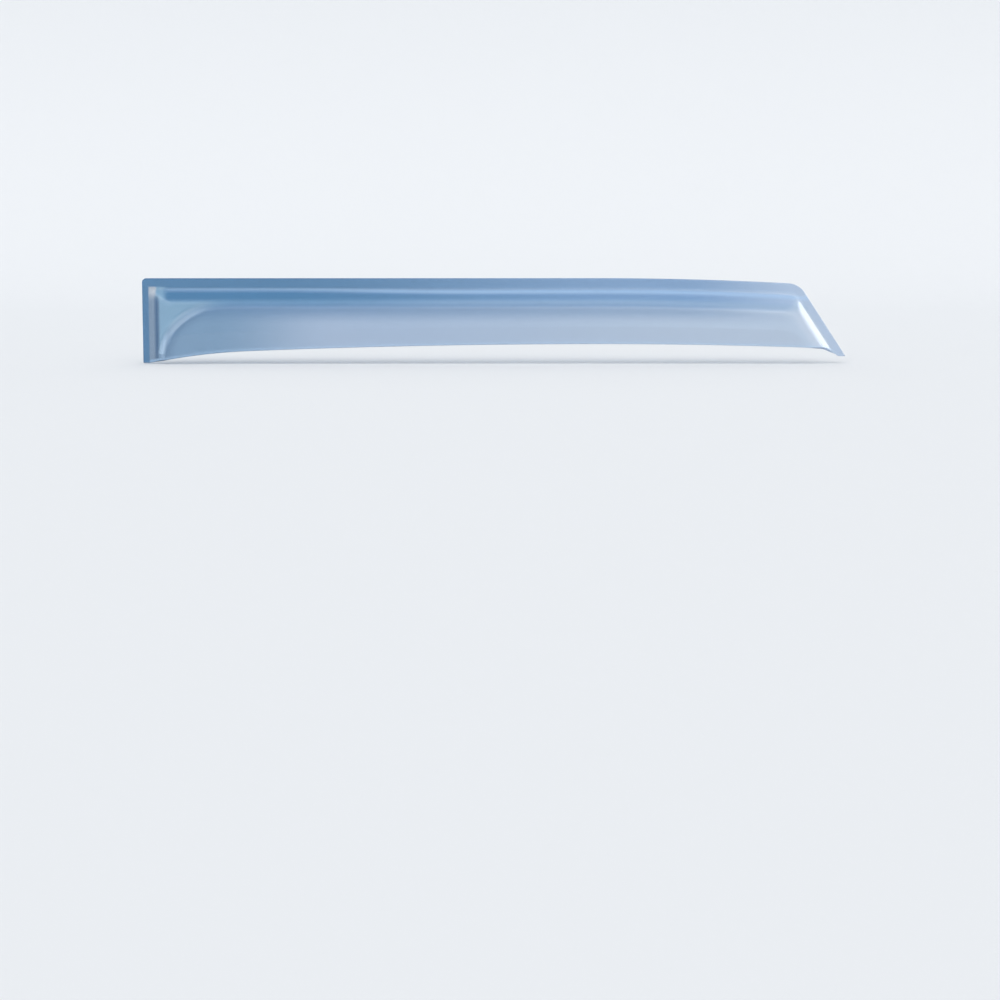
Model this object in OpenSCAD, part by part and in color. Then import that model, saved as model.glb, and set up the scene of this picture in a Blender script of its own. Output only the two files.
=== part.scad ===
// Rain deflector for the window of a rear door: one clear sheet, formed over a mould and trimmed.
// X runs rearward along the door, Y points into the car and Z is up.
// The origin lies on the inner face of the flange, midway along the sheet and midway up the flange.

/* [Sheet] */
// Thickness of the sheet
sheet_t = 3; // [2:0.1:4]
// Softness of the bend at the foot of each slope, as a depth
foot_blend = 2.2; // [1.6:0.1:3]
// Softness of the bend between the front strip and the corner field, as a depth
strip_blend = 1; // [0.8:0.1:2]
// Softness of the bend at the head of the top shoulder, as a depth
shoulder_blend = 4.5; // [3.5:0.1:6]
// Softness of the outer corner where the top shoulder meets the rear curl, as a depth
corner_blend = 7; // [5:0.1:9]

/* [Outline] */
// Length that shows outside the channels, from the front edge to the tip of the tail
visible_len = 655.5; // [600:0.5:720]
// Height that shows at the crest of the roof line
blade_h = 53.8; // [48:0.1:62]
// Distance from the front edge to the crest, where the sheet is at its shallowest
crest_from_front = 428; // [390:1:470]
// Fall of the bottom edge from the crest to the front edge
front_bow = 11; // [5:0.1:16]
// Further fall of the bottom edge in the flare at the front edge
front_flare = 7.6; // [3:0.1:11]
// Length of that flare
front_flare_len = 95; // [70:1:130]
// Fall of the bottom edge from the crest to the tail
rear_bow = 4.7; // [2:0.1:8]
// Further fall of the bottom edge in the tail
tail_h = 7.6; // [3:0.1:9]
// Length of the tail
tail_len = 18; // [14:0.5:30]
// Fall of the top lip from the crest to the rear corner
lip_fall = 5.3; // [2:0.1:8]
// Angle of the rear edge from upright
rear_rake = 33.4; // [26:0.1:38]

/* [Flange] */
// Height of the flange that stands in the top channel
flange_h = 8; // [6:0.5:12]
// Width of the flange that stands in the channel at each end
end_flange_w = 6; // [4:0.5:9]
// Radius of the flange's front top corner
front_corner_r = 4; // [2:0.5:6]
// Radius of the flange's rear top corner
rear_corner_r = 18; // [10:0.5:24]

/* [Shoulder and blade] */
// Angle of the top shoulder from the flange
shoulder_angle = 40.5; // [34:0.1:45]
// Height of the top shoulder below the lip
shoulder_h = 14.7; // [12:0.1:18]
// Depth of the flat corner field at the front, in front of the flange
field_depth = 10; // [7:0.1:12]
// Height of the step from the corner field up to the blade
step_depth = 2.4; // [1:0.1:2.8]
// Width of that step
step_w = 9; // [8.5:0.1:14]
// Angle at which the blade leans out towards its bottom edge
blade_lean = 2.5; // [0:0.1:5]
// Crown of the blade between the shoulder and the bottom edge
blade_crown = 1.2; // [0:0.1:2.5]

/* [Ends] */
// Width of the strip along the front edge
strip_w = 8; // [6:0.1:11]
// Angle of that strip from the flange
strip_angle = 40; // [32:0.1:45]
// Angle at which the corner field rises behind the strip
field_angle = 22.8; // [15:0.1:28]
// Distance from the front edge to where the curved step meets the bottom edge
step_inset = 12; // [9:0.1:18]
// Distance from the front edge to where the curved step runs into the shoulder
step_reach = 86.5; // [60:0.5:110]
// Fullness of the step's curve, where 2 is an ellipse
step_fullness = 2.2; // [2:0.05:2.6]
// Width over which the rear end curls back to the flange
rear_curl_w = 36; // [30:0.5:44]

/* [Hidden] */

clear_blue = [0.72, 0.82, 0.92, 0.6];
front_x = -visible_len / 2;
tip_x = visible_len / 2;
crest_x = front_x + crest_from_front;
lip_z0 = -flange_h / 2;
front_h = blade_h + front_bow + front_flare;
rear_h = blade_h + rear_bow + tail_h;
tip_z = lip_z0 - rear_h;
rear_corner_x = tip_x - (rear_h - lip_fall) * tan(rear_rake);
blade_top = field_depth + step_depth + blade_crown + (front_h - shoulder_h) * tan(blade_lean);

// Sheet that is left past the trimmed edges before they are cut
trim_over = 2;
// Distance over which the stations turn from upright to the rake of the rear edge
fan_len = 0.6 * visible_len;
// Spacing of the stations at the front end, along its curve, along the middle and at the rear end
strip_pitch = 1.6;
curve_pitch = 3.8;
plain_pitch = 17;
rear_pitch = 3;
// Rows across the shoulder and the blade, and points round the bottom edge
shoulder_rows = 12;
blade_rows = 11;
rim_points = 4;
// Step over which the slope of the sheet is measured
probe = 0.05;

// Curves for rounding and easing
function ease(a) = let (b = max(0, min(1, a))) b * b * (3 - 2 * b);
function soft_min(a, b, k) = min(a, b) - pow(max(k - abs(a - b), 0) / k, 3) * k / 6;
function soft_max(a, b, k) = -soft_min(-a, -b, k);
function square_of(a) = a * a;
function steps(from, to, pitch) = let (n = max(1, ceil((to - from) / pitch)))
    [for (i = [0 : n - 1]) from + (to - from) * i / n];

// Top lip and bottom edge of the sheet that shows, seen from outside
function lip_z(x) = lip_z0 - lip_fall * square_of(max(0, x - crest_x) / (rear_corner_x - crest_x));
function bottom_z(x) = let (p = max(front_x, min(tip_x, x)))
    lip_z0 - blade_h
    - front_bow * square_of(max(0, crest_x - p) / (crest_x - front_x))
    - front_flare * square_of(max(0, front_x + front_flare_len - p) / front_flare_len)
    - rear_bow * square_of(max(0, p - crest_x) / (tip_x - crest_x))
    - tail_h * square_of(max(0, p - tip_x + tail_len) / tail_len);

// Distance inside the rear edge
function rear_gap(x, z) = ((tip_x - x) - (z - tip_z) * tan(rear_rake)) * cos(rear_rake);

// Slopes that carry the sheet out from the flange: top shoulder, front strip with its field, rear curl
function shoulder_out(w) = w * tan(shoulder_angle) - foot_blend;
function strip_out(u) = u * tan(strip_angle) - foot_blend;
function field_out(u) = soft_min(
    soft_min(strip_out(u), strip_out(strip_w) + (u - strip_w) * tan(field_angle), strip_blend),
    field_depth, foot_blend);
function curl_out(v) = (blade_top + corner_blend) * (1 - square_of(1 - min(1, v / rear_curl_w))) - foot_blend;

// How far a point lies inside the curved step, which is a quarter of a full ellipse
// that stands on the front end of the bottom edge and runs out along the shoulder
function step_curve(u, w) = let (
    across = max(0, step_reach - u) / (step_reach - step_inset),
    down = max(0, front_h - w) / (front_h - shoulder_h))
    pow(pow(across, step_fullness) + pow(down, step_fullness), 1 / step_fullness);
function on_blade(u, w) = ease((1 - step_curve(u, w)) * (front_h - shoulder_h) / step_w + 0.5);

// Distance of the outer face in front of the flange at any place
function blade_out(w, h) = step_depth + max(0, w - shoulder_h) * tan(blade_lean)
    + blade_crown * sin(180 * max(0, min(1, (w - shoulder_h) / (h - shoulder_h))));
function outward(x, z) = let (
    w = lip_z(x) - z,
    u = x - front_x,
    body = field_out(u) + on_blade(u, w) * blade_out(w, lip_z(x) - bottom_z(x)),
    formed = soft_min(soft_min(shoulder_out(w), body, shoulder_blend), curl_out(rear_gap(x, z)), corner_blend))
    soft_max(0, formed, foot_blend);

// Outer and inner face of the sheet, an even wall apart
function slope_x(x, z) = (outward(x + probe, z) - outward(x - probe, z)) / (2 * probe);
function slope_z(x, z) = (outward(x, z + probe) - outward(x, z - probe)) / (2 * probe);
function outer_at(x, z) = [x, -sheet_t - outward(x, z), z];
function normal_at(x, z) = let (n = [-slope_x(x, z), -1, -slope_z(x, z)]) n / norm(n);
function inner_at(x, z) = outer_at(x, z) - sheet_t * normal_at(x, z);

// Stations stand on the bottom edge, upright at the front and raked at the rear
stations = concat(
    [front_x - end_flange_w - trim_over],
    steps(front_x, front_x + 2 * step_inset, strip_pitch),
    steps(front_x + 2 * step_inset, front_x + step_reach, curve_pitch),
    steps(front_x + step_reach, tip_x - 1.5 * rear_curl_w, plain_pitch),
    steps(tip_x - 1.5 * rear_curl_w, tip_x, rear_pitch),
    [tip_x, tip_x + (end_flange_w + trim_over) / cos(rear_rake)]);
function rake_at(x) = rear_rake * ease((x - tip_x + fan_len) / fan_len);
function head_x(x) = x - (lip_z(x - (lip_z(x) - bottom_z(x)) * tan(rake_at(x))) - bottom_z(x)) * tan(rake_at(x));

// Rows run down each station: over the flange, across the shoulder and down the blade to the rim
function row_drops(h) = let (edge = h - sheet_t / 2, foot = 1.4 * shoulder_h) concat(
    [-flange_h - trim_over],
    [for (i = [0 : shoulder_rows - 1]) foot * i / shoulder_rows],
    [for (i = [0 : blade_rows]) foot + (edge - foot) * i / blade_rows]);
function station_ring(x) = let (
    top_x = head_x(x),
    rake = rake_at(x),
    top_z = lip_z(top_x),
    h = top_z - bottom_z(x),
    places = [for (drop = row_drops(h)) [top_x + drop * tan(rake), top_z - drop]],
    last = places[len(places) - 1],
    out = normal_at(last[0], last[1]),
    middle = outer_at(last[0], last[1]) - out * sheet_t / 2,
    down = [sin(rake), 0, -cos(rake)],
    along = (down - out * (down * out)) / norm(down - out * (down * out)),
    rim = [for (i = [1 : rim_points]) let (a = 180 * i / (rim_points + 1))
        middle + (out * cos(a) + along * sin(a)) * sheet_t / 2])
    concat([for (p = places) outer_at(p[0], p[1])],
        rim,
        [for (i = [len(places) - 1 : -1 : 0]) inner_at(places[i][0], places[i][1])]);

// Closed skin over a row of rings, each with as many points in its outer half as in its inner half
module loft(rings) {
    count = len(rings[0]);
    last = count * (len(rings) - 1);
    polyhedron(
        points = [for (ring = rings) each ring],
        faces = concat(
            [for (r = [0 : len(rings) - 2]) for (i = [0 : count - 1])
                let (a = r * count + i, b = r * count + (i + 1) % count) each
                [[a, a + count, b + count], [a, b + count, b]]],
            [for (i = [0 : count / 2 - 2])
                [i, i + 1, count - 2 - i, count - 1 - i]],
            [for (i = [0 : count / 2 - 2])
                [last + count - 1 - i, last + count - 2 - i, last + i + 1, last + i]]),
        convexity = 6);
}

// Arc that rounds a corner of the trimmed outline
function corner_arc(centre, r, from, to, n) = [for (i = [0 : n])
    let (a = from + (to - from) * i / n) centre + r * [cos(a), sin(a)]];

// Outline to which the flange is trimmed; it passes below the formed bottom edge
module trim_outline() {
    front = front_x - end_flange_w;
    rear_edge = rear_corner_x + end_flange_w / cos(rear_rake);
    rear_z = lip_z(rear_edge - rear_corner_r) + flange_h - rear_corner_r;
    rear_c = [rear_edge + (lip_z(rear_corner_x) - rear_z) * tan(rear_rake) - rear_corner_r / cos(rear_rake),
        rear_z];
    low = lip_z0 - front_h - 2 * flange_h;
    rear_low = rear_edge + (lip_z(rear_corner_x) - low) * tan(rear_rake);
    polygon(concat(
        [[front, low]],
        corner_arc([front + front_corner_r, lip_z0 + flange_h - front_corner_r], front_corner_r, 180, 90, 6),
        [for (x = steps(crest_x, rear_c[0], plain_pitch)) [x, lip_z(x) + flange_h]],
        corner_arc(rear_c, rear_corner_r, 90, rear_rake, 8),
        [[rear_low, low]]));
}

module deflector() {
    depth = 2 * (blade_top + corner_blend + sheet_t);
    color(clear_blue)
        intersection() {
            loft([for (x = stations) station_ring(x)]);
            rotate([90, 0, 0])
                translate([0, 0, -depth / 2])
                    linear_extrude(depth)
                        trim_outline();
        }
}

deflector();
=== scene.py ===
import bpy
import math

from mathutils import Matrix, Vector


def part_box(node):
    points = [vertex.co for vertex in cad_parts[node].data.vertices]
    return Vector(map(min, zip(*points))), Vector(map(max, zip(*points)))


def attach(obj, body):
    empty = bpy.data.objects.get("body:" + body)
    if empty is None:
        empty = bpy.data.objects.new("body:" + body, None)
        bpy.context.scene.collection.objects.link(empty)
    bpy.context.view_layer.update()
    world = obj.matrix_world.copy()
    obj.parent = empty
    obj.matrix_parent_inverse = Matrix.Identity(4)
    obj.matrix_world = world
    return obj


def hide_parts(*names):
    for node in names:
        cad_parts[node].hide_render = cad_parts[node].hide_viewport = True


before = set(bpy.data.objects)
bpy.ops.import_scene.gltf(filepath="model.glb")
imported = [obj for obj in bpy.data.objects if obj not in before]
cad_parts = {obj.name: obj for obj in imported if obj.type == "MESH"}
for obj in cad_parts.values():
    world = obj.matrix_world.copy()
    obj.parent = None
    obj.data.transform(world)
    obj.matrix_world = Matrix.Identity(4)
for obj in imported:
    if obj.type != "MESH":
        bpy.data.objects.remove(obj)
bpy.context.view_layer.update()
mm = 0.001

print("frame loaded")


# helpers

def toLinear(hexColour):  # sRGB hex to the linear colour that shaders want
    parts = [int(hexColour[i:i + 2], 16) / 255 for i in (1, 3, 5)]
    return [p / 12.92 if p <= 0.04045 else ((p + 0.055) / 1.055) ** 2.4 for p in parts] + [1.0]


def addNode(tree, kind, settings=None, links=None):  # links holds fields, sockets or plain values
    node = tree.nodes.new(kind)
    for name, value in (settings or {}).items():
        setattr(node, name, value)
    for key, value in (links or {}).items():
        value = getattr(value, "socket", value)
        if isinstance(value, bpy.types.NodeSocket):
            tree.links.new(value, node.inputs[key])
        else:
            node.inputs[key].default_value = value
    return node


def setStops(ramp, steps):  # steps are positions with a colour or a strength
    stops = ramp.color_ramp.elements
    for index, (position, tone) in enumerate(steps):
        stop = stops[index] if index < 2 else stops.new(position)
        stop.position = position
        stop.color = toLinear(tone) if isinstance(tone, str) else (tone, tone, tone, 1.0)


class Field:  # a number that varies over the mesh, so that the mould's rule reads as plain sums
    def __init__(self, tree, socket):
        self.tree = tree
        self.socket = socket

    def calc(self, operation, *others):
        node = addNode(self.tree, "ShaderNodeMath", {"operation": operation},
                       dict(enumerate((self, *others))))
        return Field(self.tree, node.outputs[0])

    def between(self, start, end, kind="SMOOTHSTEP"):  # nothing at the start, rising to one at the end
        node = addNode(self.tree, "ShaderNodeMapRange", {"interpolation_type": kind},
                       {0: self, 1: start, 2: end})
        return Field(self.tree, node.outputs[0])

    def __add__(self, other):
        return self.calc("ADD", other)

    def __sub__(self, other):
        return self.calc("SUBTRACT", other)

    def __rsub__(self, other):
        return self.calc("MULTIPLY", -1.0).calc("ADD", other)

    def __mul__(self, other):
        return self.calc("MULTIPLY", other)

    def __truediv__(self, other):
        return self.calc("DIVIDE", other)

    def __pow__(self, other):
        return self.calc("POWER", other)

    def atLeast(self, other):
        return self.calc("MAXIMUM", other)

    def atMost(self, other):
        return self.calc("MINIMUM", other)

    def softMin(self, other, blend):
        return self.calc("SMOOTH_MIN", other, blend)

    def softMax(self, other, blend):
        return self.calc("SMOOTH_MAX", other, blend)


# the sheet: its outline and the mould it was formed over, in millimetres and degrees

sheet = {
    "thickness": 3.0,
    "footBlend": 2.2,
    "stripBlend": 1.0,
    "shoulderBlend": 4.5,
    "cornerBlend": 7.0,
    "bladeHeight": 53.8,
    "crestFromFront": 428.0,
    "frontBow": 11.0,
    "frontFlare": 7.6,
    "frontFlareLength": 95.0,
    "rearBow": 4.7,
    "tailHeight": 7.6,
    "tailLength": 18.0,
    "lipFall": 5.3,
    "rearRake": 33.4,
    "flangeHeight": 8.0,
    "endFlangeWidth": 6.0,
    "frontCornerRadius": 4.0,
    "rearCornerRadius": 18.0,
    "shoulderAngle": 40.5,
    "shoulderHeight": 14.7,
    "fieldDepth": 10.0,
    "stepDepth": 2.4,
    "stepWidth": 9.0,
    "bladeLean": 2.5,
    "bladeCrown": 1.2,
    "stripWidth": 8.0,
    "stripAngle": 40.0,
    "fieldAngle": 22.8,
    "stepInset": 12.0,
    "stepReach": 86.5,
    "stepFullness": 2.2,
    "rearCurlWidth": 36.0,
    "trimmedEase": 0.3,  # trimmed edges are only eased, as a share of the polished bottom edge's round
    "stationPitch": 1.5,  # spacing of the mesh along the sheet
    "endStations": (0.0, 0.05, 0.2, 0.5, 1.0, 2.5),  # and near both ends, in rounds of the trimmed edge
    "fanShare": 0.6,  # share of the length over which the stations turn from upright to the rake
    "topTries": 6,  # a station's top is found by trial, because the lip falls along the sheet
    "rows": 66,  # rows of the mesh from the flange down to the bottom edge
    "rimPoints": 6,  # points round each edge
    "mergeGap": 0.002,  # points closer than this become one
}

low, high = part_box("deflector")
rake = math.radians(sheet["rearRake"])
frontX = low[0] / mm + sheet["endFlangeWidth"]
tipX = high[0] / mm - sheet["endFlangeWidth"] / math.cos(rake)
crestX = frontX + sheet["crestFromFront"]
lipTop = high[2] / mm - sheet["flangeHeight"]
frontHeight = sheet["bladeHeight"] + sheet["frontBow"] + sheet["frontFlare"]
rearHeight = sheet["bladeHeight"] + sheet["rearBow"] + sheet["tailHeight"]
rearCornerX = tipX - (rearHeight - sheet["lipFall"]) * math.tan(rake)
bladeTop = (sheet["fieldDepth"] + sheet["stepDepth"] + sheet["bladeCrown"]
            + (frontHeight - sheet["shoulderHeight"]) * math.tan(math.radians(sheet["bladeLean"])))


def smoothStep(a):
    b = max(0.0, min(1.0, a))
    return b * b * (3 - 2 * b)


def lipZ(x):  # the top lip, which falls with the roof line behind the crest
    return lipTop - sheet["lipFall"] * (max(0.0, x - crestX) / (rearCornerX - crestX)) ** 2


def bottomZ(x):  # the bottom edge, with its flare at the front and its tail at the rear
    p = max(frontX, min(tipX, x))
    flareEnd = frontX + sheet["frontFlareLength"]
    tailStart = tipX - sheet["tailLength"]
    return (lipTop - sheet["bladeHeight"]
            - sheet["frontBow"] * (max(0.0, crestX - p) / (crestX - frontX)) ** 2
            - sheet["frontFlare"] * (max(0.0, flareEnd - p) / sheet["frontFlareLength"]) ** 2
            - sheet["rearBow"] * (max(0.0, p - crestX) / (tipX - crestX)) ** 2
            - sheet["tailHeight"] * (max(0.0, p - tailStart) / sheet["tailLength"]) ** 2)


def rakeAt(x):  # stations stand upright at the front and lie along the raked edge at the rear
    fanLength = sheet["fanShare"] * (tipX - frontX)
    return rake * smoothStep((x - tipX + fanLength) / fanLength)


def roundedTop(x, gap):  # how far the flange's two rounded corners cut a station short
    radius = sheet["frontCornerRadius"]
    inset = min(radius, max(0.0, x - frontX + sheet["endFlangeWidth"]))
    frontCut = radius - math.sqrt(radius ** 2 - (radius - inset) ** 2)
    radius = sheet["rearCornerRadius"]
    reach = radius * math.tan((math.pi / 2 - rake) / 2)
    inset = min(reach * math.cos(rake), max(0.0, gap))
    rearCut = reach - math.sqrt(radius ** 2 - (radius - inset) ** 2) + inset * math.tan(rake)
    return frontCut + rearCut * math.cos(rake)


def stationEnds(footX, gap):  # top and bottom point of a station
    lean = math.tan(rakeAt(footX))
    footZ = bottomZ(footX)
    topZ = lipTop
    for _ in range(sheet["topTries"]):
        topX = footX - (topZ - footZ) * lean
        topZ = lipZ(topX) + sheet["flangeHeight"] - roundedTop(topX, gap)
    return Vector((topX, topZ)), Vector((footX, footZ))


def makeBlank():  # the trimmed blank, flat, as a grid of stations and rows
    edgeRound = sheet["thickness"] / 2 * sheet["trimmedEase"]
    nearEdge = [edgeRound * share for share in sheet["endStations"]]
    firstX = frontX - sheet["endFlangeWidth"]
    lastX = tipX + sheet["endFlangeWidth"] / math.cos(rake)
    count = round((lastX - firstX) / sheet["stationPitch"])
    inner = [firstX + (lastX - firstX) * i / count for i in range(1, count)]
    feet = ([firstX + gap for gap in nearEdge] + inner
            + [lastX - gap / math.cos(rake) for gap in reversed(nearEdge)])
    points = []
    heights = []
    gaps = []
    for footX in feet:
        rearGap = (lastX - footX) * math.cos(rake)
        top, foot = stationEnds(footX, rearGap)
        down = (foot - top).normalized()
        start = top + down * edgeRound
        end = foot - down * sheet["thickness"] / 2
        for j in range(sheet["rows"]):
            place = start.lerp(end, j / (sheet["rows"] - 1))
            points.append((place.x * mm, 0.0, place.y * mm))
            heights.append((lipZ(place.x) - bottomZ(place.x)) * mm)
            gaps.append(min(footX - firstX, rearGap) * mm)
    rows = sheet["rows"]
    faces = [(i * rows + j, (i + 1) * rows + j, (i + 1) * rows + j + 1, i * rows + j + 1)
             for i in range(len(feet) - 1) for j in range(rows - 1)]
    mesh = bpy.data.meshes.new("deflectorBlank")
    mesh.from_pydata(points, [], [face[::-1] for face in faces])
    for name, values in (("sheetHeight", heights), ("endGap", gaps)):
        mesh.attributes.new(name, "FLOAT", "POINT").data.foreach_set("value", values)
    return bpy.data.objects.new("deflectorBlank", mesh), len(feet)


# forming: Geometry Nodes press the blank over the mould and give it its wall

formedSizes = {  # named inputs of the tree, with their values
    "Thickness": sheet["thickness"] * mm,
    "Front X": frontX * mm,
    "Tip X": tipX * mm,
    "Tip Z": (lipTop - rearHeight) * mm,
    "Crest X": crestX * mm,
    "Lip Z": lipTop * mm,
    "Lip Fall": sheet["lipFall"] * mm,
    "Lip Run": (rearCornerX - crestX) * mm,
    "Foot Blend": sheet["footBlend"] * mm,
    "Strip Blend": sheet["stripBlend"] * mm,
    "Shoulder Blend": sheet["shoulderBlend"] * mm,
    "Corner Blend": sheet["cornerBlend"] * mm,
    "Shoulder Slope": math.tan(math.radians(sheet["shoulderAngle"])),
    "Shoulder Height": sheet["shoulderHeight"] * mm,
    "Strip Width": sheet["stripWidth"] * mm,
    "Strip Slope": math.tan(math.radians(sheet["stripAngle"])),
    "Field Slope": math.tan(math.radians(sheet["fieldAngle"])),
    "Field Depth": sheet["fieldDepth"] * mm,
    "Front Height": frontHeight * mm,
    "Step Depth": sheet["stepDepth"] * mm,
    "Step Width": sheet["stepWidth"] * mm,
    "Step Inset": sheet["stepInset"] * mm,
    "Step Reach": sheet["stepReach"] * mm,
    "Step Fullness": sheet["stepFullness"],
    "Blade Lean": math.tan(math.radians(sheet["bladeLean"])),
    "Blade Crown": sheet["bladeCrown"] * mm,
    "Blade Top": bladeTop * mm,
    "Rake": rake,
    "Rear Curl Width": sheet["rearCurlWidth"] * mm,
    "Trimmed Ease": sheet["trimmedEase"],
}


def lipLine(size, x):
    behindCrest = (x - size["Crest X"]).atLeast(0.0)
    return size["Lip Z"] - (behindCrest / size["Lip Run"]) ** 2 * size["Lip Fall"]


def pressMould(size, x, z, height):  # depth of the outer face in front of the flange, and its parts
    w = lipLine(size, x) - z  # down from the lip
    u = x - size["Front X"]  # back from the front end
    across = (size["Tip X"] - x) - (z - size["Tip Z"]) * size["Rake"].calc("TANGENT")
    v = across * size["Rake"].calc("COSINE")  # in from the raked end
    shoulder = w * size["Shoulder Slope"] - size["Foot Blend"]
    strip = u * size["Strip Slope"] - size["Foot Blend"]
    stripHead = size["Strip Width"] * size["Strip Slope"] - size["Foot Blend"]
    rise = (u - size["Strip Width"]) * size["Field Slope"] + stripHead
    field = strip.softMin(rise, size["Strip Blend"]).softMin(size["Field Depth"], size["Foot Blend"])
    bend = (1.0 - (v / size["Rear Curl Width"]).atMost(1.0)) ** 2.0
    curl = (1.0 - bend) * (size["Blade Top"] + size["Corner Blend"]) - size["Foot Blend"]
    bladeRun = size["Front Height"] - size["Shoulder Height"]
    alongX = (size["Step Reach"] - u).atLeast(0.0) / (size["Step Reach"] - size["Step Inset"])
    alongZ = (size["Front Height"] - w).atLeast(0.0) / bladeRun
    fullness = size["Step Fullness"]
    curve = (alongX ** fullness + alongZ ** fullness) ** (fullness ** -1.0)  # one on the step
    fromStep = (1.0 - curve) * bladeRun
    onBlade = fromStep.between(size["Step Width"] * -0.5, size["Step Width"] * 0.5)
    below = w - size["Shoulder Height"]
    share = (below / (height - size["Shoulder Height"])).atLeast(0.0).atMost(1.0)
    blade = (size["Step Depth"] + below.atLeast(0.0) * size["Blade Lean"]
             + (share * math.pi).calc("SINE") * size["Blade Crown"])
    formed = shoulder.softMin(field + onBlade * blade, size["Shoulder Blend"])
    formed = formed.softMin(curl, size["Corner Blend"])
    return {
        "depth": formed.softMax(0.0, size["Foot Blend"]),
        "onBlade": onBlade,
        "fromStep": fromStep,
        "belowLip": w,
        "insideLip": u.atMost(v).atMost(w),
    }


def buildFormTree(stations):
    tree = bpy.data.node_groups.new("formDeflector", "GeometryNodeTree")
    ports = tree.interface
    ports.new_socket("Geometry", in_out="INPUT", socket_type="NodeSocketGeometry")
    for name in formedSizes:
        ports.new_socket(name, in_out="INPUT", socket_type="NodeSocketFloat")
    ports.new_socket("Rows", in_out="INPUT", socket_type="NodeSocketInt")
    ports.new_socket("Rim Points", in_out="INPUT", socket_type="NodeSocketInt")
    ports.new_socket("Material", in_out="INPUT", socket_type="NodeSocketMaterial")
    ports.new_socket("Geometry", in_out="OUTPUT", socket_type="NodeSocketGeometry")
    given = addNode(tree, "NodeGroupInput").outputs
    size = {name: Field(tree, given[name]) for name in formedSizes}

    # press the flat blank over the mould
    place = addNode(tree, "ShaderNodeSeparateXYZ", links={
        0: addNode(tree, "GeometryNodeInputPosition").outputs[0]}).outputs
    x = Field(tree, place[0])
    z = Field(tree, place[2])
    height = Field(tree, addNode(tree, "GeometryNodeInputNamedAttribute", {"data_type": "FLOAT"},
                                 {0: "sheetHeight"}).outputs[0])
    pressed = pressMould(size, x, z, height)
    y = 0.0 - (pressed["depth"] + size["Thickness"])
    spot = addNode(tree, "ShaderNodeCombineXYZ", links={0: x, 1: y, 2: z})
    formed = addNode(tree, "GeometryNodeSetPosition", links={
        "Geometry": given["Geometry"], "Position": spot.outputs[0]}).outputs[0]

    # wrap a tube of rings round it: outer face, bottom rim, inner face, top rim
    rows = Field(tree, given["Rows"])
    rim = Field(tree, given["Rim Points"])
    ringCount = rows * 2.0 + rim * 2.0 + 1.0
    tube = addNode(tree, "GeometryNodeMeshGrid", links={
        "Vertices X": stations, "Vertices Y": ringCount}).outputs[0]
    vertex = Field(tree, addNode(tree, "GeometryNodeInputIndex").outputs[0])
    roundingGuard = 0.0001  # keeps a whole number from being rounded down
    station = (vertex / ringCount + roundingGuard).calc("FLOOR")
    k = vertex - station * ringCount  # place round the ring
    row = k.atMost(rows * 2.0 + rim - 1.0 - k).atLeast(0.0).atMost(rows - 1.0)
    lowTurn = ((k - (rows - 1.0)) / (rim + 1.0)).atLeast(0.0).atMost(1.0)
    highTurn = ((k - (rows * 2.0 + rim - 1.0)) / (rim + 1.0)).atLeast(0.0).atMost(1.0)
    turn = (lowTurn + highTurn) * math.pi
    source = station * rows + row
    upper = station * rows + (row - 1.0).atLeast(0.0)
    lower = station * rows + (row - 1.0).atLeast(0.0) + 1.0
    position = addNode(tree, "GeometryNodeInputPosition").outputs[0]
    facing = addNode(tree, "GeometryNodeInputNormal").outputs[0]
    endGap = addNode(tree, "GeometryNodeInputNamedAttribute", {"data_type": "FLOAT"},
                     {0: "endGap"}).outputs[0]
    sampled = {}  # what the formed sheet has at the vertex that each point of the ring comes from
    for name, value, index, kind in (
            ("face", position, source, "FLOAT_VECTOR"),
            ("normal", facing, source, "FLOAT_VECTOR"),
            ("above", position, upper, "FLOAT_VECTOR"),
            ("below", position, lower, "FLOAT_VECTOR"),
            ("endGap", endGap, source, "FLOAT"),
            ("height", height, source, "FLOAT")):
        sampled[name] = addNode(tree, "GeometryNodeSampleIndex", {"data_type": kind},
                                {0: formed, 1: value, 2: index}).outputs[0]
    along = addNode(tree, "ShaderNodeVectorMath", {"operation": "SUBTRACT"},
                    {0: sampled["below"], 1: sampled["above"]}).outputs[0]
    down = addNode(tree, "ShaderNodeVectorMath", {"operation": "NORMALIZE"}, {0: along}).outputs[0]
    half = size["Thickness"] * 0.5
    nearEnd = (Field(tree, sampled["endGap"]) / (half * size["Trimmed Ease"])).atMost(1.0)
    wall = half * (nearEnd * (2.0 - nearEnd)).calc("SQRT")
    sine = turn.calc("SINE")
    reach = wall * (sine.atLeast(0.0) + sine.atMost(0.0) * size["Trimmed Ease"])
    lift = wall * turn.calc("COSINE") - half
    inwards, downwards = (
        addNode(tree, "ShaderNodeVectorMath", {"operation": "SCALE"}, {0: way, "Scale": far}).outputs[0]
        for way, far in ((sampled["normal"], lift), (down, reach)))
    offset = addNode(tree, "ShaderNodeVectorMath", {"operation": "ADD"},
                     {0: inwards, 1: downwards}).outputs[0]
    spot = addNode(tree, "ShaderNodeVectorMath", {"operation": "ADD"}, {0: sampled["face"], 1: offset})
    wrapped = addNode(tree, "GeometryNodeSetPosition", links={
        "Geometry": tube, "Position": spot.outputs[0]}).outputs[0]

    # note for the material which part of the form each point lies on
    notes = {name: pressed[name] for name in ("onBlade", "fromStep", "belowLip", "insideLip")}
    notes["polishedRim"] = sine.atLeast(0.0)
    notes["aboveEdge"] = Field(tree, sampled["height"]) - pressed["belowLip"]
    for name, value in notes.items():
        wrapped = addNode(tree, "GeometryNodeStoreNamedAttribute", {
            "data_type": "FLOAT", "domain": "POINT"}, {
            "Geometry": wrapped, "Name": name, "Value": value}).outputs[0]

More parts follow.
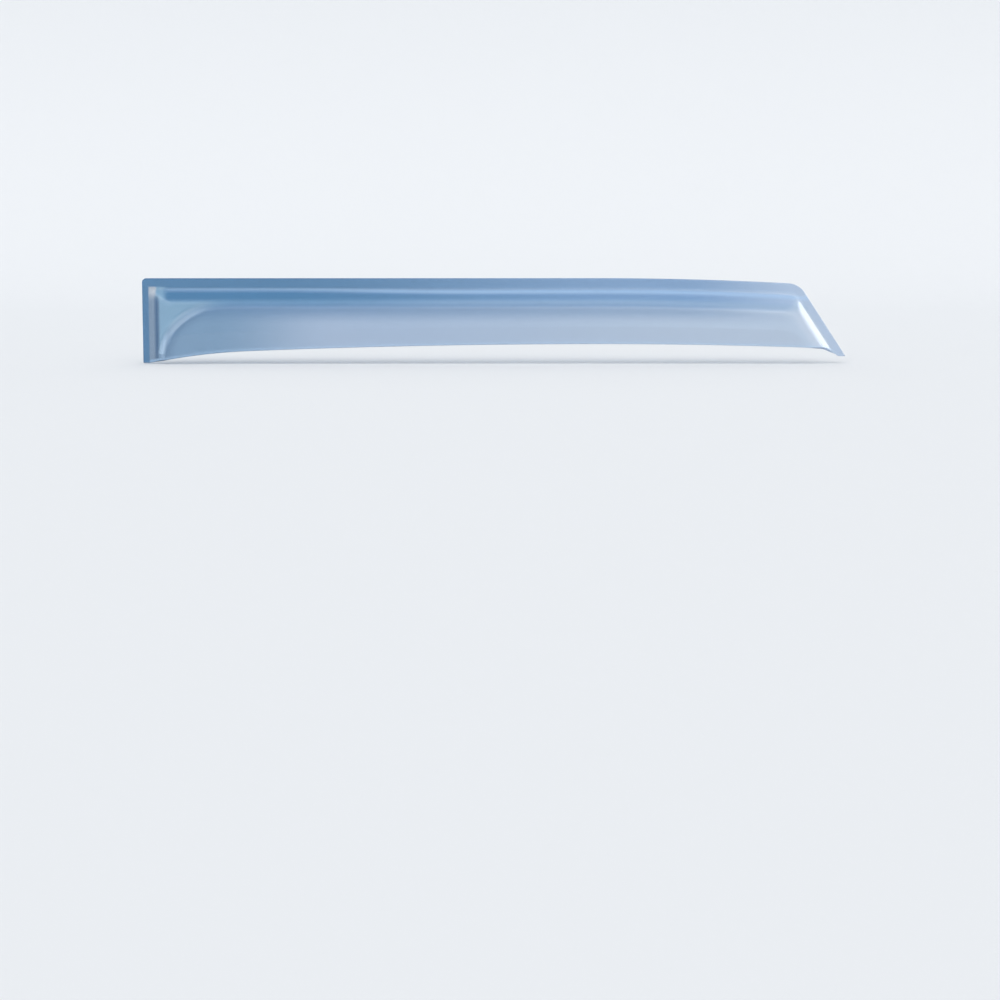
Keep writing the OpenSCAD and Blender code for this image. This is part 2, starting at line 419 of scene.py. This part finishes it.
    # close the seam and the ends
    closed = addNode(tree, "GeometryNodeMergeByDistance", links={
        "Geometry": wrapped, "Distance": sheet["mergeGap"] * mm}).outputs[0]
    outward = addNode(tree, "GeometryNodeFlipFaces", links={"Mesh": closed}).outputs[0]
    smooth = addNode(tree, "GeometryNodeSetShadeSmooth", links={"Geometry": outward}).outputs[0]
    real = addNode(tree, "GeometryNodeRealizeInstances", links={"Geometry": smooth}).outputs[0]
    done = addNode(tree, "GeometryNodeSetMaterial", links={
        "Geometry": real, "Material": given["Material"]}).outputs[0]
    addNode(tree, "NodeGroupOutput", links={0: done})
    return tree


def formSheet(material):
    blank, stations = makeBlank()
    bpy.context.scene.collection.objects.link(blank)
    tree = buildFormTree(stations)
    modifier = blank.modifiers.new("form", "NODES")
    modifier.node_group = tree
    identifiers = {item.name: item.identifier for item in tree.interface.items_tree
                   if item.in_out == "INPUT"}
    values = dict(formedSizes)
    values["Rows"] = sheet["rows"]
    values["Rim Points"] = sheet["rimPoints"]
    values["Material"] = material
    for name, value in values.items():
        modifier[identifiers[name]] = value
    depsgraph = bpy.context.evaluated_depsgraph_get()
    mesh = bpy.data.meshes.new_from_object(blank.evaluated_get(depsgraph))
    piece = bpy.data.objects.new("formedSheet", mesh)
    bpy.context.scene.collection.objects.link(piece)
    bpy.data.objects.remove(blank)
    return piece


# clear acrylic sheet with a light blue tint, formed hot and glossy on both faces;
# the colour paints a cool film that is palest on the blade, with a deeper blue painted reflection over
# the shoulder and towards the front, and a painted highlight line on the polished bottom edge

acrylic = {
    # tones along the sheet, at places in mm from the front end
    # the blade's own tint, growing paler towards the rear as a painted reflection
    "bladeTintAndReflection": ((60.0, "#90b0cc"), (180.0, "#bccee4"), (650.0, "#ccdaea")),
    # a deeper blue painted reflection on the upper blade
    "upperReflectionTint": ((100.0, "#789cc0"), (500.0, "#90acca"), (650.0, "#ccdaea")),
    # the shoulder's deep blue, a painted reflection of the sky, also laid on the flange
    "shoulderReflectionTint": ((100.0, "#6492b8"), (500.0, "#96b6d8"), (650.0, "#ccdcf0")),
    "upperFade": (16.0, 36.0),  # where the upper tone gives way to the blade's, mm below the lip
    "shoulderFade": (10.5, 16.5),  # and the shoulder's tone to the upper tone
    "shoulderStart": (12.0, 20.0),  # where the shoulder's tone sets in, mm from the front end
    "flangeFade": (-0.7, 0.9),  # where the flange's tone, the shoulder's painted reflection, gives way to the rest, mm inside lip and ends
    "wingReflectionTint": "#98bdd6",  # the corner field between strip and step, paler with a painted reflection
    # the front strip's grey painted reflection, whiter at its top
    "stripReflectionTint": "#93a9bf",
    "stripTopReflection": "#c8d0d8",
    "stripTopFade": (5.0, 14.0),  # where the strip's top tone gives way to its own, mm below the lip
    "stripEase": 1.5,  # mm over which the strip's tone gives way to the corner field's
    "stripBendShade": "#55779b",
    "stripBendLine": (0.4, 4.0),  # the painted shade along the strip's bend: its middle, mm behind the strip, and its half width
    "stepHighlight": "#a4c0d9",  # the step's painted highlight line, with a soft painted shade beside it
    "stepShade": "#7796b5",
    "stepLine": (1.9, 2.8),  # its middle, mm from the step's middle towards the blade, and half width
    "stepShadeReach": 3.6,  # the shade's half width, in half widths of the line
    "stepShadeFade": (16.0, 32.0),  # further below the lip, in mm, the painted shade keeps to the blade's side
    "stepFade": (12.0, 80.0),  # where line and shade die away, mm from the front end
    "bendLine": (15.0, 4.5),  # the paler bend below the shoulder, a painted reflection, mm below the lip
    "bendStart": (150.0, 330.0),  # where it sets in, mm from the front end
    "bendShare": 0.3,
    "paintedHighlightTone": "#c8e4ff",  # the painted highlight's tone on the lip and the bottom edge
    "lipLine": (5.2, 3.4),  # the lip's painted highlight line, mm down from the lip
    "lipShine": 0.7,
    "lipFront": (3.2, 0.35),  # its middle and its shine at the front, where it runs closer to the lip
    "lipFrontEnd": (110.0, 300.0),  # where that ends, mm from the front end
    "edgeLine": (1.7, 2.4),  # the bottom edge's painted highlight line, mm up from the edge
    "edgeShine": 0.28,
    # surface and body
    "ior": 1.49,
    "roughness": 0.03,
    "haze": 0.03,  # most that handling marks add to the roughness
    "markSize": 55.0,  # mm
    "markDetail": 4.0,
    "markRange": (0.4, 0.75),  # noise that leaves no mark, and noise that leaves a full one
    "transmission": 0.86,
    "absorption": "#7fa9d6",
    "density": 30.0,
    "waveLength": (140.0, 30.0),  # faint waves of the forming, along and across the sheet, mm
    "waveDepth": 0.02,
    "waveDetail": 2.0,
    "waveRoughness": 0.4,
}


def fade(value, ends):  # nothing up to the first place and one from the second, both in mm
    start, end = ends
    return value.between(start * mm, end * mm)


def ridge(value, middle, halfWidth):  # one on the middle, falling to nothing on either side, in mm
    return 1.0 - fade((value - middle * mm).calc("ABSOLUTE"), (0.0, halfWidth))


def layTints(tree, tint, *layers):  # over the first tint, each with its share at every point
    for share, tone in layers:
        tint = addNode(tree, "ShaderNodeMix", {"data_type": "RGBA"},
                       {0: share, 6: tint, 7: tone}).outputs[2]
    return tint


def tintAndPaintedLightByPlace(tree, fromFront, form):  # the tint of each part of the form, with painted reflection, highlight and shade laid over it
    tones = {name: toLinear(acrylic[name]) for name in (
        "wingReflectionTint", "stripReflectionTint", "stripTopReflection", "stripBendShade", "stepHighlight", "stepShade", "paintedHighlightTone")}
    length = tipX - frontX
    along = fromFront.between(0.0, length * mm, "LINEAR")
    for name in ("bladeTintAndReflection", "upperReflectionTint", "shoulderReflectionTint"):
        ramp = addNode(tree, "ShaderNodeValToRGB", links={0: along})
        ramp.color_ramp.interpolation = "EASE"
        setStops(ramp, [(at / length, tone) for at, tone in acrylic[name]])
        tones[name] = ramp.outputs[0]

    # front strip and corner field: painted reflection tones, with a painted shade line in the strip's
    # bend
    stripBend = sheet["stripWidth"]
    behind, halfWidth = acrylic["stripBendLine"]
    belowTop = fade(form["belowLip"], acrylic["stripTopFade"])
    pastStrip = fade(fromFront, (stripBend - acrylic["stripEase"], stripBend))
    bend = ridge(fromFront, stripBend + behind, halfWidth) * belowTop
    wing = layTints(tree, tones["stripTopReflection"], (belowTop, tones["stripReflectionTint"]),
                    (pastStrip, tones["wingReflectionTint"]), (bend, tones["stripBendShade"]))

    # blade, shoulder and flange: the blade's tint with painted reflections on the blade, upper blade,
    # shoulder and flange
    lower = fade(form["belowLip"], acrylic["upperFade"])
    blade = layTints(tree, tones["upperReflectionTint"], (lower, tones["bladeTintAndReflection"]))
    shoulder = 1.0 - fade(form["belowLip"], acrylic["shoulderFade"])
    shoulder = shoulder * fade(fromFront, acrylic["shoulderStart"])
    inside = fade(form["insideLip"], acrylic["flangeFade"])
    tint = layTints(tree, wing, (form["onBlade"], blade), (shoulder, tones["shoulderReflectionTint"]),
                    (1.0 - inside, tones["shoulderReflectionTint"]))

    # painted highlights and painted shade where the form turns: the step, the bend below the shoulder,
    # the lip and the bottom edge
    middle, halfWidth = acrylic["stepLine"]
    front = 1.0 - fade(fromFront, acrylic["stepFade"])
    nearLip = 1.0 - fade(form["belowLip"], acrylic["stepShadeFade"])
    beside = ridge(form["fromStep"], middle, acrylic["stepShadeReach"] * halfWidth) * front
    beside = beside * nearLip.atLeast(form["onBlade"])
    step = ridge(form["fromStep"], middle, halfWidth) * front
    middle, halfWidth = acrylic["bendLine"]
    bend = ridge(form["belowLip"], middle, halfWidth) * fade(fromFront, acrylic["bendStart"])
    bend = bend * acrylic["bendShare"] * inside
    middle, halfWidth = acrylic["lipLine"]
    frontMiddle, frontShine = acrylic["lipFront"]
    pastFront = fade(fromFront, acrylic["lipFrontEnd"])
    lipMiddle = pastFront * (middle - frontMiddle) + frontMiddle
    lipShine = pastFront * (acrylic["lipShine"] - frontShine) + frontShine
    lip = ridge(form["belowLip"], lipMiddle, halfWidth) * shoulder
    lipHighlightTone = layTints(tree, tones["shoulderReflectionTint"], (lipShine, tones["paintedHighlightTone"]))
    middle, halfWidth = acrylic["edgeLine"]
    edge = (ridge(form["aboveEdge"], middle, halfWidth) * inside).atLeast(form["polishedRim"])
    edgeHighlightTone = layTints(tree, tones["bladeTintAndReflection"], (acrylic["edgeShine"], tones["paintedHighlightTone"]))
    return layTints(tree, tint, (beside, tones["stepShade"]), (step, tones["stepHighlight"]),
                    (bend, tones["bladeTintAndReflection"]), (lip, lipHighlightTone), (edge, edgeHighlightTone))


def makeAcrylic():
    material = bpy.data.materials.new("tintedAcrylicSheet")
    material.use_nodes = True
    tree = material.node_tree
    tree.nodes.clear()
    place = addNode(tree, "ShaderNodeTexCoord").outputs["Object"]
    x = Field(tree, addNode(tree, "ShaderNodeSeparateXYZ", links={0: place}).outputs[0])
    form = {}
    for name in ("polishedRim", "onBlade", "fromStep", "belowLip", "insideLip", "aboveEdge"):
        noted = addNode(tree, "ShaderNodeAttribute", {"attribute_name": name})
        form[name] = Field(tree, noted.outputs["Fac"])
    tint = tintAndPaintedLightByPlace(tree, x - frontX * mm, form)

    # forming waves and handling haze
    lengthways, crossways = (1 / (size * mm) for size in acrylic["waveLength"])
    stretched = addNode(tree, "ShaderNodeMapping", links={
        "Vector": place, "Scale": (lengthways, crossways, crossways)})
    waves = addNode(tree, "ShaderNodeTexNoise", links={
        "Vector": stretched.outputs[0], "Scale": 1.0, "Detail": acrylic["waveDetail"],
        "Roughness": acrylic["waveRoughness"]}).outputs[0]
    relief = addNode(tree, "ShaderNodeBump", links={
        "Height": waves, "Strength": 1.0, "Distance": acrylic["waveDepth"] * mm}).outputs[0]
    marks = addNode(tree, "ShaderNodeTexNoise", links={
        "Vector": place, "Scale": 1 / (acrylic["markSize"] * mm), "Detail": acrylic["markDetail"]})
    marked = Field(tree, marks.outputs[0]).between(*acrylic["markRange"])
    roughness = marked * acrylic["haze"] + acrylic["roughness"]

    body = addNode(tree, "ShaderNodeBsdfPrincipled", links={
        "Base Color": tint,
        "Roughness": roughness,
        "IOR": acrylic["ior"],
        "Transmission Weight": acrylic["transmission"],
        "Normal": relief,
    })
    depth = addNode(tree, "ShaderNodeVolumeAbsorption", links={
        "Color": toLinear(acrylic["absorption"]), "Density": acrylic["density"]})
    addNode(tree, "ShaderNodeOutputMaterial", links={
        "Surface": body.outputs[0], "Volume": depth.outputs[0]})
    return material


sheetMaterial = makeAcrylic()
deflector = formSheet(sheetMaterial)
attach(deflector, "root")
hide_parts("deflector")
print("sheet formed:", len(deflector.data.polygons), "faces")


# stage

studio = {
    "floorDrop": 0.5,  # gap under the sheet, mm
    "sweepFront": 3.0,  # the floor's reach towards the camera, m
    "sweepBack": 1.2,  # where it starts to turn up behind the sheet, m
    "sweepRadius": 0.8,
    "sweepHeight": 3.5,
    "sweepSide": 4.0,
    "sweepSegments": 12,
    "floorColour": "#e9ebed",
    "backdropColour": "#eaeef2",  # what shows past the floor, in the tone that the lit floor has
    "worldColour": "#f2f4f7",
    "worldStrength": 0.88,
    "keyStrength": 0.9,
    "keySpread": 50.0,
    "keyDirection": (0.25, 0.7, -1.0),
    "skyStrength": 6.0,  # the sky that the gloss mirrors, brighter than what lights the floor
    "sky": [(0.0, "#b4bec9"), (0.2, "#b4bfcc"), (0.45, "#ffffff"), (0.72, "#eef4fc"), (0.9, "#5f8cc4"),
            (1.0, "#3f6fae")],  # its tone from the horizon up
    "acrossShare": [(0.0, 0.9), (0.3, 0.8), (0.38, 0.3), (0.44, 0.35), (0.55, 0.9), (0.9, 1.0),
                    (1.0, 1.6)],  # its share of that strength from the front end's side to the rear's
    "aheadShare": [(0.0, 0.6), (0.2, 0.55), (0.36, 0.4), (0.44, 0.35), (0.49, 0.5), (0.53, 0.85),
                   (0.57, 1.3), (1.0, 1.1)],  # and from the camera's side to behind the sheet
    "mmPerPixel": 0.95,
    "pixels": 1000,
    "focal": 85.0,
    "sensor": 36.0,
    "elevation": 3.0,  # degrees above level
    "aimDepth": 9.0,  # the middle of the sheet that shows: in front of the flange and below the lip, mm
    "aimBelowLip": 36.0,
    "aimPixel": (494, 325),  # and where it lies in the frame
}


def makeStage():
    floorZ = low[2] - studio["floorDrop"] * mm
    back, radius, segments = studio["sweepBack"], studio["sweepRadius"], studio["sweepSegments"]
    turns = [math.pi / 2 * i / segments for i in range(1, segments + 1)]
    profile = [(-studio["sweepFront"], floorZ), (back, floorZ)]
    profile += [(back + radius * math.sin(a), floorZ + radius * (1 - math.cos(a))) for a in turns]
    profile += [(back + radius, floorZ + studio["sweepHeight"])]
    points = [(x, y, z) for y, z in profile for x in (-studio["sweepSide"], studio["sweepSide"])]
    faces = [(2 * i, 2 * i + 1, 2 * i + 3, 2 * i + 2) for i in range(len(profile) - 1)]
    mesh = bpy.data.meshes.new("paleSweep")
    mesh.from_pydata(points, [], faces)
    mesh.shade_smooth()
    sweep = bpy.data.objects.new("paleSweep", mesh)
    bpy.context.scene.collection.objects.link(sweep)
    material = bpy.data.materials.new("palePaper")
    material.use_nodes = True
    shader = material.node_tree.nodes["Principled BSDF"]
    shader.inputs["Base Color"].default_value = toLinear(studio["floorColour"])
    shader.inputs["Roughness"].default_value = 1.0
    shader.inputs["Specular IOR Level"].default_value = 0.0
    mesh.materials.append(material)


def makeLights():
    world = bpy.data.worlds.new("softWorld")
    world.use_nodes = True
    tree = world.node_tree
    tree.nodes.clear()
    direction = addNode(tree, "ShaderNodeTexCoord").outputs["Generated"]
    x, y, z = addNode(tree, "ShaderNodeSeparateXYZ", links={0: direction}).outputs
    across, ahead = (Field(tree, part).between(-1.0, 1.0, "LINEAR") for part in (x, y))
    shades = {}
    for name, place in (("sky", z), ("acrossShare", across), ("aheadShare", ahead)):
        ramp = addNode(tree, "ShaderNodeValToRGB", links={0: place})
        setStops(ramp, studio[name])
        shades[name] = ramp.outputs[0]
    strength = Field(tree, shades["acrossShare"]) * shades["aheadShare"] * studio["skyStrength"]
    soft = addNode(tree, "ShaderNodeBackground", links={
        "Color": toLinear(studio["worldColour"]), "Strength": studio["worldStrength"]}).outputs[0]
    mirrored = addNode(tree, "ShaderNodeBackground", links={
        "Color": shades["sky"], "Strength": strength}).outputs[0]
    ray = addNode(tree, "ShaderNodeLightPath").outputs
    glossy = Field(tree, ray["Is Glossy Ray"]) * ray["Is Reflection Ray"]
    backdrop = addNode(tree, "ShaderNodeBackground", links={
        "Color": toLinear(studio["backdropColour"])}).outputs[0]
    seen = soft
    for share, shine in ((glossy, mirrored), (ray["Is Camera Ray"], backdrop)):
        seen = addNode(tree, "ShaderNodeMixShader", links={0: share, 1: seen, 2: shine}).outputs[0]
    addNode(tree, "ShaderNodeOutputWorld", links={0: seen})
    bpy.context.scene.world = world
    data = bpy.data.lights.new("softKey", "SUN")
    data.energy = studio["keyStrength"]
    data.angle = math.radians(studio["keySpread"])
    key = bpy.data.objects.new("softKey", data)
    key.rotation_euler = Vector(studio["keyDirection"]).to_track_quat("-Z", "Y").to_euler()
    key.visible_glossy = False
    bpy.context.scene.collection.objects.link(key)
    bpy.context.scene.view_settings.view_transform = "Standard"


def makeCamera():
    data = bpy.data.cameras.new("camera")
    data.lens = studio["focal"]
    data.sensor_width = studio["sensor"]
    camera = bpy.data.objects.new("camera", data)
    bpy.context.scene.collection.objects.link(camera)
    bpy.context.scene.camera = camera
    distance = studio["focal"] / studio["sensor"] * studio["mmPerPixel"] * studio["pixels"] * mm
    middle = Vector((0.0, -studio["aimDepth"] * mm, (lipTop - studio["aimBelowLip"]) * mm))
    elevation = math.radians(studio["elevation"])
    camera.location = middle + distance * Vector((0, -math.cos(elevation), math.sin(elevation)))
    perPixel = studio["sensor"] / studio["focal"] / studio["pixels"]
    turnX = math.atan((studio["aimPixel"][0] - studio["pixels"] / 2) * perPixel)
    turnZ = math.atan((studio["pixels"] / 2 - studio["aimPixel"][1]) * perPixel)
    camera.rotation_euler = (math.pi / 2 - elevation - turnZ, 0, turnX)


makeStage()
makeLights()
makeCamera()
print("stage, lights and camera placed")
